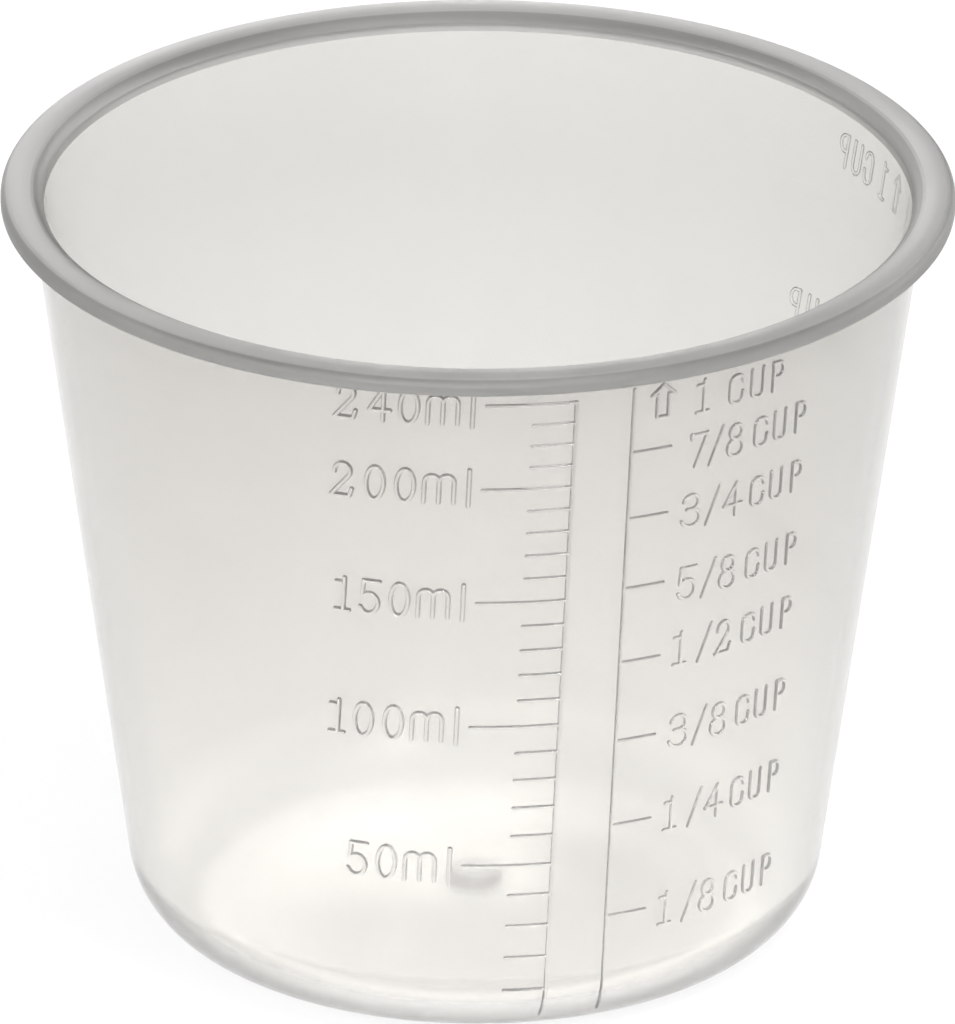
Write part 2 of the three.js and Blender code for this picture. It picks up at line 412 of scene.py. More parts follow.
class Graph:
    """A node tree that is filled by calls."""

    def __init__(self, tree):
        self.tree = tree

    def add(self, kind, settings=None, inputs=None, output=0):
        """Adds a node, sets it up, feeds its inputs and returns one of its outputs."""
        node = self.tree.nodes.new(kind)
        for key, value in (settings or {}).items():
            setattr(node, key, value)
        for key, value in (inputs or {}).items():
            if isinstance(value, Wire):
                self.tree.links.new(value.socket, node.inputs[key])
            else:
                node.inputs[key].default_value = value
        return Wire(self, node.outputs[output])

    def close(self, kind, port, wire):
        """Ends the tree with an output node."""
        self.tree.links.new(wire.socket, self.tree.nodes.new(kind).inputs[port])

    def maths(self, operation, *values):
        return self.add("ShaderNodeMath", {"operation": operation}, dict(enumerate(values)))

    def place(self):
        """The point on the object that is shaded."""
        return self.add("ShaderNodeTexCoord", output="Object")

    def axes(self, vector):
        """The three numbers in a vector."""
        node = self.add("ShaderNodeSeparateXYZ", None, {"Vector": vector}).socket.node
        return [Wire(self, socket) for socket in node.outputs]

    def radius(self, place):
        """Distance from the cup's axis."""
        x, y, _ = self.axes(place)
        return self.maths("SQRT", x * x + y * y)

    def noise(self, place, scale, detail=2.0, roughness=0.5):
        inputs = {"Vector": place, "Scale": scale, "Detail": detail, "Roughness": roughness}
        return self.add("ShaderNodeTexNoise", None, inputs, "Fac")

    def blend(self, part, first, second):
        """Mixes two colours."""
        inputs = {"Factor": part, "A": first, "B": second}
        return self.add("ShaderNodeMix", {"data_type": "RGBA"}, inputs, "Result")

    def dimmed(self, colour, part):
        return self.add("ShaderNodeVectorMath", {"operation": "SCALE"}, {"Vector": colour, "Scale": part})

    def step(self, value, low, high, start=0.0, end=1.0):
        """Goes softly from start to end while a value goes from low to high."""
        inputs = {"Value": value, "From Min": low, "From Max": high, "To Min": start, "To Max": end}
        return self.add("ShaderNodeMapRange", {"interpolation_type": "SMOOTHSTEP"}, inputs, "Result")

    def surface(self, inputs):
        return self.add("ShaderNodeBsdfPrincipled", None, inputs, "BSDF")


def shader(name):
    """A new material with an empty graph, and that graph."""
    material = bpy.data.materials.new(name)
    material.use_nodes = True
    material.node_tree.nodes.clear()
    return material, Graph(material.node_tree)


def rgba(colour, dim=1.0):
    """A colour with its alpha, dimmed to a share."""
    return (*[channel * dim for channel in colour], 1.0)


# Materials

finishes = {}


def milky_plastic(name, low, high, levels, clearness, haze, **more):
    """Polypropylene, clear enough to see through, that goes from one tone to another between two levels.

    More: cloud and ripple, how uneven it is; low_haze, the roughness at the lower level; bevel, the painted
    shade of the rim's bevel; crease, the height of a thin line of painted shade; shades, the painted shade
    below a line's crest. The change of tone between the two levels is painted light and shade.
    """
    material, graph = shader(name)
    place = graph.place()
    cloudiness = graph.noise(place, CLOUD_SCALE, CLOUD_DETAIL, CLOUD_ROUGHNESS)
    speckle = graph.noise(place, SPECKLE_SCALE)
    height = graph.axes(place)[2]
    climb = (height - levels[0]) * (1 / (levels[1] - levels[0]))
    climb = climb + (cloudiness - 0.5) * more.get("cloud", THIN_CLOUD)
    low_tone = rgba(low)
    if "bevel" in more:
        low_tone = rim_side_shades(graph, place, low_tone, rgba(more["bevel"]))
    tone = graph.blend(climb, low_tone, rgba(high))
    if "shades" in more:
        low_shade, high_shade, ridge = more["shades"]
        tone = letter_flanks(graph, place, tone, climb * (high_shade - low_shade) + low_shade, ridge)
    if "crease" in more:
        tone = painted_crease_shade(graph, height, tone, more["crease"])
    skin = haze
    if "low_haze" in more:
        skin = climb * (haze - more["low_haze"]) + more["low_haze"]
    grain = cloudiness * (1 - SPECKLE_SHARE) + speckle * SPECKLE_SHARE
    ripple = {"Strength": more.get("ripple", RIPPLE), "Distance": RIPPLE_HEIGHT, "Height": grain}
    surface = graph.surface({
        "Base Color": tone,
        "Roughness": skin * (cloudiness * HAZE_SPREAD + (1 - HAZE_SPREAD / 2)),
        "Normal": graph.add("ShaderNodeBump", None, ripple),
        "IOR": REFRACTION,
        "Transmission Weight": clearness,
    })
    graph.close("ShaderNodeOutputMaterial", "Surface", surface)
    finishes[name] = material


def rim_side_shades(graph, place, outer, bevel):
    """Painted shade on the rim's sides: the bevel looks in at the mouth, the outer face looks out, and each
    gets its own dark tone.
    """
    form = form_now()
    middle = (form.inside(form.top) + bead_high.x) / 2
    outwards = (graph.radius(place) - middle) * (1 / form.s.bevel) + 0.5
    return graph.blend(outwards, bevel, outer)


def painted_crease_shade(graph, height, tone, crease):
    """Paints a thin line of shade at one height, where the rim turns from its land to its sides."""
    away = graph.maths("ABSOLUTE", height - crease)
    return graph.dimmed(tone, graph.step(away, 0.0, CREASE_REACH, CREASE_SHADE, 1.0))


def letter_flanks(graph, place, tone, shade, ridge):
    """Darkens a raised line below its crest, where the light that enters is turned away."""
    form, marks = form_now(), marks_sizes()
    height = graph.axes(place)[2]
    proud = (graph.radius(place) - height * form.slope - form.outside_base) * (1 / form.lean)
    crest = ridge * marks.word_line / marks.line
    lit = graph.step(proud, crest * FLANK_FROM, crest * FLANK_TO)
    return graph.blend(lit, graph.dimmed(tone, shade), tone)


def seam_finish(name, colour):
    """Faces where two pieces of the one moulding meet: there is no surface there, so nothing shows."""
    material, graph = shader(name)
    grain = graph.noise(graph.place(), CLOUD_SCALE)
    tone = graph.blend(grain, rgba(colour, SEAM_SHADE), rgba(colour))
    surface = graph.surface({"Base Color": tone, "Alpha": 0.0, "Roughness": SEAM_HAZE})
    graph.close("ShaderNodeOutputMaterial", "Surface", surface)
    finishes[name] = material


def make_finishes(look, marks):
    """All finishes of the cup, from the colours in the panel."""
    # Painted light and shade: the wall is lighter just above the corner and darker under the rim, the base
    # lighter still at the foot
    wall = (look.lit_plastic_low, look.shaded_plastic_high, (wall_low.z, bead_low.z), look.clearness)
    base = (look.lit_floor_tint, look.lit_plastic_low, (0, wall_low.z), look.base_clearness)
    # The gate's darker tone is painted shade
    gate = (look.gate, look.gate, (0, wall_low.z), look.base_clearness)
    # The rim's land is painted lighter than its sides, with a thin line of painted shade below its top
    land = (bead_high.z - LAND_LOW, bead_high.z - LAND_HIGH)
    rim = (look.shaded_rim_side, look.rim_land, land, look.rim_clearness)
    milky_plastic("milky_plastic", *wall, look.polish, cloud=SHELL_CLOUD)
    milky_plastic("base_plastic", *base, look.polish, cloud=SHELL_CLOUD, low_haze=look.base_haze)
    crease = bead_high.z - CREASE_DROP
    milky_plastic("bead_plastic", *rim, look.rim_haze, bevel=look.shaded_rim_bevel, crease=crease)
    milky_plastic("gate_plastic", *gate, look.polish * GATE_POLISH)
    for name, shades, height in (
        ("raised_marks", SCALE_SHADES, marks.height),
        ("raised_letters", LETTER_SHADES, marks.height),
        ("raised_fractions", FRACTION_SHADES, marks.fraction_height),
    ):
        milky_plastic(name, *wall, look.polish * MARK_POLISH, ripple=0, shades=(*shades, height))
    seam_finish("inner_seam", look.lit_plastic_low)


def finish_named(name):
    """A finish by its name. All are made when the first is asked for."""
    if not finishes:
        make_finishes(bpy.context.scene.cup_finish, marks_sizes())
    return finishes[name]


# Pieces

workshop = {}


def place_piece(name, mesh, nodes):
    """Shows a mesh as a piece that stands for nodes of the frame and rides on the cup."""
    piece = bpy.data.objects.new(name, mesh)
    bpy.context.scene.collection.objects.link(piece)
    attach(piece, BODY)
    if nodes:
        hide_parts(*nodes)


def stand_in(mesh):
    """A passing object that holds a mesh while pieces are fitted to each other."""
    tool = bpy.data.objects.new("fitting_" + mesh.name, mesh)
    bpy.context.scene.collection.objects.link(tool)
    return tool


def baked(host):
    """The mesh of an object with its modifiers applied."""
    bpy.context.view_layer.update()
    graph = bpy.context.evaluated_depsgraph_get()
    made = host.evaluated_get(graph)
    return bpy.data.meshes.new_from_object(made, preserve_all_data_layers=True, depsgraph=graph)


def seated(mesh, ridges):
    """Cuts the seats of the raised pieces out of a mesh. Their faces take the seam's slot."""
    tools = ridges.copy()
    tools.materials.clear()
    tools.materials.append(finish_named("raised_marks"))
    tools.materials.append(finish_named("inner_seam"))
    tools.polygons.foreach_set("material_index", [SEAM] * len(tools.polygons))
    host, tool = stand_in(mesh), stand_in(tools)
    cut = host.modifiers.new("seats", "BOOLEAN")
    cut.operation = "DIFFERENCE"
    cut.solver = "MANIFOLD"
    cut.object = tool
    result = baked(host)
    for item in (host, tool):
        bpy.data.objects.remove(item)
    return result


def read_vectors(items, key):
    """A vector of each item, as rows of an array."""
    rows = np.empty(len(items) * 3, np.float32)
    items.foreach_get(key, rows)
    return rows.reshape(-1, 3)


def on_skin(face, corners, form):
    """Whether a face lies on the tapered outside or its round corner, and looks outwards."""
    for x, y, z in corners:
        (radius, _), _ = form.skin(z)
        if z > form.bead_bottom + HEIGHT_TOLERANCE or abs(math.hypot(x, y) - radius) > SKIN_TOLERANCE:
            return False
    centre = sum(corners, Vector())
    return face.normal.dot(Vector((centre.x, centre.y, 0)).normalized()) >= FACING_OUT


def true_normals(mesh, form):
    """Gives the faces on the tapered outside and its corner the directions of the true turned surface."""
    mesh.update()
    normals = read_vectors(mesh.corner_normals, "vector")
    places = read_vectors(mesh.vertices, "co").tolist()
    for face in mesh.polygons:
        corners = [Vector(places[index]) for index in face.vertices]
        if face.material_index == SEAM or not on_skin(face, corners, form):
            continue
        for loop, (x, y, z) in zip(face.loop_indices, corners):
            _, (out, up) = form.skin(z)
            radius = math.hypot(x, y)
            normals[loop] = (out * x / radius, out * y / radius, up)
    mesh.normals_split_custom_set(normals.tolist())


def shell_piece(name, runs, finish, node, seats=False):
    """Turns a piece of the shell. Seats are cut for the raised pieces that reach it."""
    form = form_now()
    finish_pair = [finish_named(finish), finish_named("inner_seam")]
    mesh = turned(name, runs(form), finish_pair, form.s.round_steps)
    if seats:
        mesh = seated(mesh, workshop["ridges"])
        true_normals(mesh, form)
    place_piece(name, mesh, [node])


# Cross sections


def wall_runs(form):
    """Tapered wall, between the corner of the base and the rim."""
    outer_foot, inner_foot = form.across(form.seam)
    outer_top, inner_top = form.across(form.bead_bottom)
    return [
        ([outer_foot, outer_top], SKIN),
        ([outer_top, inner_top], SEAM),
        ([inner_top, inner_foot], SKIN),
        ([inner_foot, outer_foot], SEAM),
    ]


def base_runs(form):
    """Floor with its dimple, foot and round corner."""
    s = form.s
    roof = form.under_top + s.dimple_depth
    under = form.swell(form.foot_inner, s.foot_depth)
    outer_seam, inner_seam = form.across(form.seam)
    corner = (form.foot_outer, s.corner)
    outside = form.arc(corner, s.corner, -math.pi / 2, -form.draft, 2 * s.arc_steps)
    inside = [*reversed(form.inside_corner()), *reversed(form.swell(form.floor_edge, s.floor))]
    return [
        ([(0, roof), (stub_high.x, roof)], SEAM),
        ([(stub_high.x, roof), (s.dimple, roof)], SKIN),
        ([(s.dimple, roof), (s.dimple, form.under_top)], SKIN),
        ([(s.dimple, form.under_top), *under], SKIN),
        ([under[-1], (form.foot_inner, 0)], SKIN),
        ([(form.foot_inner, 0), (form.foot_outer, 0)], SKIN),
        ([*outside, outer_seam], SKIN),
        ([outer_seam, inner_seam], SEAM),
        ([inner_seam, *inside, (boss_high.x, form.floor_top)], SKIN),
        ([(boss_high.x, form.floor_top), (0, form.floor_top)], SEAM),
    ]


def boss_runs(form):
    """Low round boss on the middle of the floor."""
    radius, ease = boss_high.x, form.s.boss_round
    foot = form.floor_top
    top = foot + boss_high.z - boss_low.z
    shoulder = form.arc((radius - ease, top - ease), ease, 0, math.pi / 2)
    return [
        ([(0, foot), (radius, foot)], SEAM),
        ([(radius, foot), *shoulder, (0, top)], SKIN),
    ]


def stub_runs(form):
    """Stub of the sheared gate, under the roof of the dimple."""
    roof = form.under_top + form.s.dimple_depth
    tip = roof - (stub_high.z - stub_low.z)
    ease = form.s.stub_round
    end = form.arc((form.s.stub_tip - ease, tip + ease), ease, -math.pi / 2, 0)
    return [
        ([(0, tip), *end, (stub_high.x, roof)], SKIN),
        ([(stub_high.x, roof), (0, roof)], SEAM),
    ]


def bead_runs(form):
    """Solid rim: round outer edges, a land with a slight crown, and the bevel into the mouth."""
    s = form.s
    quarter = math.pi / 2
    outer, bottom, edge = cad_high.x, form.bead_bottom, form.top - s.crown
    outer_seam, inner_seam = form.across(bottom)
    land = (form.inside(form.top) + s.bevel, edge)
    land_end = (outer - s.top_round, edge)
    foot = (form.inside(form.top - s.bevel_drop), form.top - s.bevel_drop)
    bulge = s.bevel_bulge / math.sqrt(2)
    low_edge = form.arc((outer - s.low_round, bottom + s.low_round), s.low_round, -quarter, 0)
    top_edge = form.arc((outer - s.top_round, edge - s.top_round), s.top_round, 0, quarter)
    return [
        ([outer_seam, *low_edge, *top_edge], SKIN),
        (bulged(land_end, land, (0, s.crown)), SKIN),
        (bulged(land, foot, (-bulge, bulge)), SKIN),
        ([foot, inner_seam], SKIN),
        ([inner_seam, outer_seam], SEAM),
    ]


# Raised lines


def bend(centre, reach, start, end, steps=BEND_STEPS):
    """Points of a flat elliptic arc. Angles are degrees, 0 to the right and 90 up."""
    angles = [math.radians(start + (end - start) * i / steps) for i in range(steps + 1)]
    return [(centre[0] + reach[0] * math.cos(a), centre[1] + reach[1] * math.sin(a)) for a in angles]


def ring(centre, reach):
    """Points of a closed ellipse."""
    return bend(centre, reach, 0, 360, RING_STEPS)


# Each figure is (width, strokes), in heights of a capital.
FIGURES = {
    "0": (0.48, [ring((0.24, 0.5), (0.24, 0.5))]),
    "1": (0.38, [[(0.23, 1), (0.22, 0)], [(0.01, 0.87), (0.15, 0.87)], [(0, 0), (0.38, 0)]]),
    "2": (
        0.56,
        [
            [(0.06, 0.72), *bend((0.28, 0.755), (0.22, 0.245), 180, -32), (0, 0)],
            [(0, 0), (0.5, 0)],
            [(0.5, 0), (0.56, 0.22)],
        ],
    ),
    "3": (
        0.5,
        [
            bend((0.24, 0.77), (0.21, 0.23), 170, -88, 18),
            [(0.14, 0.54), (0.26, 0.54)],
            bend((0.24, 0.27), (0.26, 0.27), 85, -160, 20),
        ],
    ),
    "4": (0.55, [[(0.37, 1), (0.37, 0)], [(0.37, 1), (0, 0.33)], [(0, 0.33), (0.55, 0.33)]]),
    "5": (
        0.5,
        [[(0.08, 1), (0.5, 1)], [(0.08, 1), (0.04, 0.52)], bend((0.24, 0.31), (0.25, 0.31), 140, -155, 22)],
    ),
    "7": (0.5, [[(0.01, 0.88), (0.01, 1)], [(0.01, 1), (0.5, 1)], [(0.5, 1), (0.15, 0)]]),
    "8": (0.5, [ring((0.26, 0.775), (0.2, 0.225)), ring((0.25, 0.275), (0.25, 0.275))]),
    "/": (0.42, [[(0, -0.06), (0.42, 1.05)]]),
    "m": (
        0.8,
        [
            [(0, 0.02), *bend((0.2, 0.64), (0.2, 0.22), 180, 0), (0.4, 0.02)],
            [*bend((0.6, 0.64), (0.2, 0.22), 180, 0), (0.8, 0.02)],
        ],
    ),
    "l": (0.1, [[(0, 1.04), (0, -0.06)]]),
    "C": (
        0.5,
        [
            [
                *bend((0.25, 0.76), (0.24, 0.24), 0, 180),
                *bend((0.25, 0.24), (0.24, 0.24), 180, 360),
                (0.5, 0.36),
            ]
        ],
    ),
    "U": (0.45, [[(0, 1), *bend((0.225, 0.23), (0.225, 0.23), 180, 360), (0.45, 1)]]),
    "P": (0.4, [[(0, 1), (0, 0)], [(0, 1), *bend((0.17, 0.74), (0.23, 0.26), 90, -90), (0, 0.48)]]),
}

# Where the points of a rounded tip lie, as shares of half the line's width
TIP_POINTS = (0.35, 0.6, 0.8, 0.95, 0.999)


class Strokes:
    """Lines drawn on the unrolled outside of the cup: distance along the arc, and height."""

    def __init__(self, form, marks, azimuth=0.0):
        self.form = form
        self.marks = marks
        self.azimuth = math.radians(azimuth)
        self.lines = []

    def line(self, points, width=None, level=False):
        """Adds a line. level keeps it a fixed distance from the plane through the cup's axis."""
        self.lines.append((points, width or self.marks.line, level))

    def text(self, letters, columns, foot, capital, widths=None):
        """Writes letters at the left edges that columns lists, with their feet at a height."""
        for letter, left in zip(letters, columns):
            natural, strokes = FIGURES[letter]
            wide = widths[letter] / natural if widths and letter in widths else capital
            for stroke in strokes:
                self.line([(left + x * wide, foot + y * capital) for x, y in stroke], self.marks.word_line)

    def wrapped(self, along, height, level):
        """Point and outward direction on the outside of the cup."""
        (radius, _), (out, up) = self.form.skin(height)
        turn = math.asin(along / radius) if level else along / radius
        angle = self.azimuth + turn
        side = (math.sin(angle), -math.cos(angle))
        return (radius * side[0], radius * side[1], height), (out * side[0], out * side[1], up)

    def refined(self, points):
        """The same line with points no further apart than a step."""
        rows = [points[0]]
        for last, point in zip(points, points[1:]):
            count = max(1, math.ceil(math.dist(last, point) / LINE_STEP))
            for i in range(1, count + 1):
                rows.append(tuple(a + (b - a) * i / count for a, b in zip(last, point)))
        return rows

    def tipped(self, points, width):
        """Adds rounded tips: points past each end, with the share of the line's width that they keep."""
        rows, shares = list(points), [1.0] * len(points)
        for _ in ("end", "start"):
            tip, inner = rows[-1], rows[-2]
            reach = math.dist(tip, inner)
            away = tuple((a - b) / reach for a, b in zip(tip, inner))
            for part in TIP_POINTS:
                rows.append(tuple(a + d * (width / 2) * part for a, d in zip(tip, away)))
                shares.append(math.sqrt(1 - part * part))
            rows.reverse()
            shares.reverse()
        return rows, shares

    def mesh(self, name):
        """All the lines as a mesh of edges, with the width and the wall's direction at each point."""
        places, edges, lifts, widths = [], [], [], []
        for points, width, level in self.lines:
            closed = math.dist(points[0], points[-1]) < TOUCHING
            rows = self.refined(points)
            if closed:
                rows.pop()
                shares = [1.0] * len(rows)
            else:
                rows, shares = self.tipped(rows, width)
            first = len(places)
            for (along, height), part in zip(rows, shares):
                place, lift = self.wrapped(along, height, level)
                places.append(place)
                lifts.extend(lift)
                widths.append(part * width / self.marks.line)
            edges += [(i, i + 1) for i in range(first, len(places) - 1)]
            if closed:
                edges.append((len(places) - 1, first))
        mesh = bpy.data.meshes.new(name)
        mesh.from_pydata(places, edges, [])
        mesh.attributes.new("lift", "FLOAT_VECTOR", "POINT").data.foreach_set("vector", lifts)
        mesh.attributes.new("swell", "FLOAT", "POINT").data.foreach_set("value", widths)
        return mesh


# Share of a ridge's height that reaches into the wall, radius of its edges as a share of its flank, and
# facets on such an edge
RIDGE_BURIED = 0.5
RIDGE_EASE = 0.9
RIDGE_STEPS = 4

RIDGE_INPUTS = {
    "Lines": "NodeSocketGeometry",
    "Line width": "NodeSocketFloat",
    "Line height": "NodeSocketFloat",
    "Flank width": "NodeSocketFloat",
    "Wall": "NodeSocketObject",
    "Finish": "NodeSocketMaterial",
    "Seam": "NodeSocketMaterial",
}


def ridge_tree():
    """Sweeps a rounded ridge along each line, joins what crosses and seats it on the wall.

    Returns the tree and the identifier of each input.
    """
    tree = bpy.data.node_groups.new("raised_lines", "GeometryNodeTree")
    keys = {}
    for name, kind in RIDGE_INPUTS.items():
        socket = tree.interface.new_socket(name, in_out="INPUT", socket_type=kind)
        if kind == "NodeSocketFloat":
            socket.subtype = "DISTANCE"
        keys[name] = socket.identifier
    tree.interface.new_socket("Ridges", in_out="OUTPUT", socket_type="NodeSocketGeometry")
    graph = Graph(tree)
    given = tree.nodes.new("NodeGroupInput").outputs
    lines, width, height, flank, wall, finish, seam = (Wire(graph, given[name]) for name in RIDGE_INPUTS)
    path = graph.add("GeometryNodeMeshToCurve", None, {"Mesh": lines})
    swell = attribute(graph, "swell", "FLOAT")
    path = graph.add("GeometryNodeSetCurveRadius", None, {"Curve": path, "Radius": swell})
    lift = attribute(graph, "lift", "FLOAT_VECTOR")
    path = graph.add("GeometryNodeSetCurveNormal", {"mode": "FREE"}, {"Curve": path, "Normal": lift})
    section = ridge_section(graph, width, height, flank)
    sweep = {"Curve": path, "Profile Curve": section, "Scale": swell, "Fill Caps": True}
    swept = graph.add("GeometryNodeCurveToMesh", None, sweep)
    island = graph.add("GeometryNodeInputMeshIsland", output="Island Index")
    islands = {"Geometry": swept, "Group ID": island}
    split = graph.add("GeometryNodeSplitToInstances", {"domain": "FACE"}, islands)
    union, cut = ({"operation": kind, "solver": "MANIFOLD"} for kind in ("UNION", "DIFFERENCE"))
    joined = graph.add("GeometryNodeMeshBoolean", union, {1: split})
    body = graph.add("GeometryNodeObjectInfo", None, {"Object": wall}, "Geometry")
    ridges = graph.add("GeometryNodeMeshBoolean", cut, {0: joined, 1: body})
    ridges = graph.add("GeometryNodeRealizeInstances", None, {"Geometry": ridges})
    ridges = graph.add("GeometryNodeSetMaterial", None, {"Geometry": ridges, "Material": finish})
    contact = attribute(graph, "contact", "BOOLEAN")
    seats = {"Geometry": ridges, "Selection": contact, "Material": seam}
    ridges = graph.add("GeometryNodeSetMaterial", None, seats)
    graph.close("NodeGroupOutput", 0, ridges)
    return tree, keys


def attribute(graph, name, kind):
    """A value that the mesh carries."""
    return graph.add("GeometryNodeInputNamedAttribute", {"data_type": kind}, {"Name": name})


def ridge_section(graph, width, height, flank):
    """Cross section of a ridge: steep flanks, eased edges and a part that reaches into the wall."""
    sides = {
        "Bottom Width": width + flank,
        "Top Width": width - flank * 2.0,
        "Offset": 0.0,
        "Height": height * (1 + RIDGE_BURIED),
    }
    sides = graph.add("GeometryNodeCurvePrimitiveQuadrilateral", {"mode": "TRAPEZOID"}, sides)
    ease = {"Curve": sides, "Count": RIDGE_STEPS, "Radius": flank * RIDGE_EASE, "Limit Radius": True}
    eased = graph.add("GeometryNodeFilletCurve", {"mode": "POLY"}, ease)
    out = {"X": height * ((1 - RIDGE_BURIED) / 2), "Y": 0.0, "Z": 0.0}
    shift = graph.add("ShaderNodeCombineXYZ", None, out)
    move = {"Geometry": eased, "Translation": shift, "Rotation": (0.0, 0.0, -math.pi / 2)}
    return graph.add("GeometryNodeTransform", None, move)


def wall_body(form, marks):
    """Closed solid of the cup's outside, drawn in by the seat, with every face marked as a contact."""
    shrink = marks.sink
    centre, corner = (form.foot_outer, form.s.corner), form.s.corner - shrink
    top = form.bead_bottom
    runs = [
        ([(0, shrink), (form.foot_outer, shrink)], SKIN),
        (form.arc(centre, corner, -math.pi / 2, -form.draft, 2 * form.s.arc_steps), SKIN),
        ([(form.outside(top, -shrink), top), (0, top)], SKIN),
    ]
    mesh = turned("wall_body", runs, [finish_named("inner_seam")], form.s.round_steps)
    contact = [True] * len(mesh.polygons)
    mesh.attributes.new("contact", "BOOLEAN", "FACE").data.foreach_set("value", contact)
    return mesh


def raised(strokes, name, body, finish, height):
    """Lines turned into ridges that are seated on the body."""
    tree, keys = workshop["sweep"]
    host = stand_in(strokes.mesh(name))
    sweep = host.modifiers.new("ridges", "NODES")
    sweep.node_group = tree
    given = {
        "Line width": strokes.marks.line,
        "Line height": height,
        "Flank width": strokes.marks.flank,
        "Wall": body,
        "Finish": finish_named(finish),
        "Seam": finish_named("inner_seam"),
    }
    for key, value in given.items():
        sweep[keys[key]] = value
    mesh = baked(host)
    bpy.data.objects.remove(host)
    mesh.name = name
    for spare in ("lift", "swell", "contact"):
        if spare in mesh.attributes:
            mesh.attributes.remove(mesh.attributes[spare])
    mesh.shade_smooth()
    mesh.set_sharp_from_angle(angle=SHARP_ANGLE)
    return mesh


# Scales


def millimetres(*values):
    """Lengths in metres."""
    return [value * MM for value in values]


MILLILITRE_STEP = 10
MILLILITRE_TOP = 240
MILLILITRE_LONG = 50
TRIED_LEAST = 100
TRIED_MOST = 400
TRIED_STEP = 0.5
CUP_CLEARANCE = 1.55 * MM
SPINE_FOOT = 2.7 * MM
EIGHTHS = 8
THIRDS = 3
THIRDS_AZIMUTH = 80.0
ARROW_ALONG = 5.5 * MM
ARROW_HEIGHT = 3.85 * MM
ARROW_HEAD = 1.55 * MM
ARROW_SPAN = 2.6 * MM
ARROW_SHAFT = 1.5 * MM
ARROW_TIP = 1.5

# Left edges of the hundreds, tens, units, m and l, and each word's foot above its tick
MILLILITRE_COLUMNS = millimetres(-24.4, -21.25, -18.5, -15.98, -11.97)
ONE_ASIDE = 0.85 * MM
MILLILITRE_FEET = dict(zip((240, 200, 150, 100, 50), millimetres(-1.95, -1.4, -1.6, -1.5, -1.7)))

# Left edges of the upper figure, slash, lower figure, C, U and P, and each fraction's foot above its tick
CUP_COLUMNS = millimetres(8.05, 10.6, 12.5, 15.52, 17.9, 20.63)
CUP_FRACTIONS = ("1/8", "1/4", "3/8", "1/2", "5/8", "3/4", "7/8")
CUP_FEET = millimetres(-2.05, -1.6, -1.78, -1.3, -2.25, -1.93, -2.6)
CUP_WIDTHS = dict(zip("12345/", millimetres(1.1, 1.6, 1.8, 1.85, 1.75, 1.3)))
SEVEN_ASIDE = 0.55 * MM
WORD_LIFT = 0.2 * MM
ONE_CUP_COLUMNS = millimetres(8.99, 12.38, 14.81, 17.33)
ONE_CUP_FOOT = -3.6 * MM
THIRDS_ASIDE = -0.3 * MM
THIRDS_FOOT = -1.8 * MM


def capacity_levels(form, volumes):
    """Height of each volume, in millilitres, found from the inside of the cup."""
    inside = [(0, form.floor_top), *form.swell(form.floor_edge, form.s.floor)]
    inside += form.inside_corner()[1:]
    inside.append((form.inside(form.top), form.top))
    radii = np.array([radius for radius, _ in inside])
    heights = np.array([height for _, height in inside])
    levels = np.linspace(heights.min(), form.top, LEVEL_STEPS)
    lowest = int(np.argmin(heights))
    outer = np.interp(levels, heights[lowest:], radii[lowest:])
    inner = np.interp(levels, heights[: lowest + 1][::-1], radii[: lowest + 1][::-1])
    area = math.pi * (outer**2 - np.where(levels < form.floor_top, inner**2, 0))
    slices = (area[1:] + area[:-1]) / 2 * np.diff(levels)
    held = np.concatenate([[0], np.cumsum(slices)]) * MILLILITRES
    return [float(np.interp(volume, held, levels)) for volume in volumes]


def cup_top(form):
    """Height of the one-cup mark."""
    return form.bead_bottom - CUP_CLEARANCE


def cup_volume(form):
    """Millilitres below the one-cup mark, found among volumes that are tried."""
    tried = np.arange(TRIED_LEAST, TRIED_MOST, TRIED_STEP)
    return float(np.interp(cup_top(form), capacity_levels(form, tried), tried))


def millilitre_strokes(form, marks):
    """Spine and ticks of the millilitre scale, and the height of each volume."""
    strokes = Strokes(form, marks)
    volumes = list(range(MILLILITRE_STEP, MILLILITRE_TOP + 1, MILLILITRE_STEP))
    levels = capacity_levels(form, volumes)
    spine = -marks.gap / 2
    strokes.line([(spine, SPINE_FOOT), (spine, levels[-1])], level=True)
    for volume, height in zip(volumes, levels):
        long = volume % MILLILITRE_LONG == 0 or volume == MILLILITRE_TOP
        reach = marks.long_tick if long else marks.short_tick
        strokes.line([(spine, height), (spine - reach + marks.line / 2, height)])
    return strokes, dict(zip(volumes, levels))


def fraction_strokes(form, marks, azimuth, spine, divisions):
    """Spine and ticks of a scale that divides a cup, and the heights of its ticks."""
    strokes = Strokes(form, marks, azimuth)
    cup = cup_volume(form)
    levels = capacity_levels(form, [cup * i / divisions for i in range(1, divisions)])
    strokes.line([(spine, SPINE_FOOT), (spine, cup_top(form))], level=True)
    for height in levels:
        strokes.line([(spine, height), (spine + marks.short_tick - marks.line / 2, height)])
    return strokes, levels


def millilitre_words(form, marks, levels):
    """The words beside the long ticks of the millilitre scale."""
    strokes = Strokes(form, marks)
    for volume, foot in MILLILITRE_FEET.items():
        letters = f"{volume}ml"
        columns = MILLILITRE_COLUMNS[-len(letters):]
        if letters[0] == "1":
            columns[0] += ONE_ASIDE
        strokes.text(letters, columns, levels[volume] + foot, marks.millilitre_cap)
    return strokes


def fraction_word(strokes, marks, fraction, columns, foot):
    """A fraction and the word CUP behind it."""
    strokes.text(fraction, columns, foot, marks.cup_cap, CUP_WIDTHS)
    strokes.text("CUP", columns[3:], foot + WORD_LIFT, marks.word_cap)


def one_cup(strokes, form, marks, aside):
    """The words beside the arrow at the one-cup mark."""
    foot = cup_top(form) + ONE_CUP_FOOT
    columns = [aside + left for left in ONE_CUP_COLUMNS]
    strokes.text("1", columns, foot, marks.cup_cap, CUP_WIDTHS)
    strokes.text("CUP", columns[1:], foot, marks.word_cap)


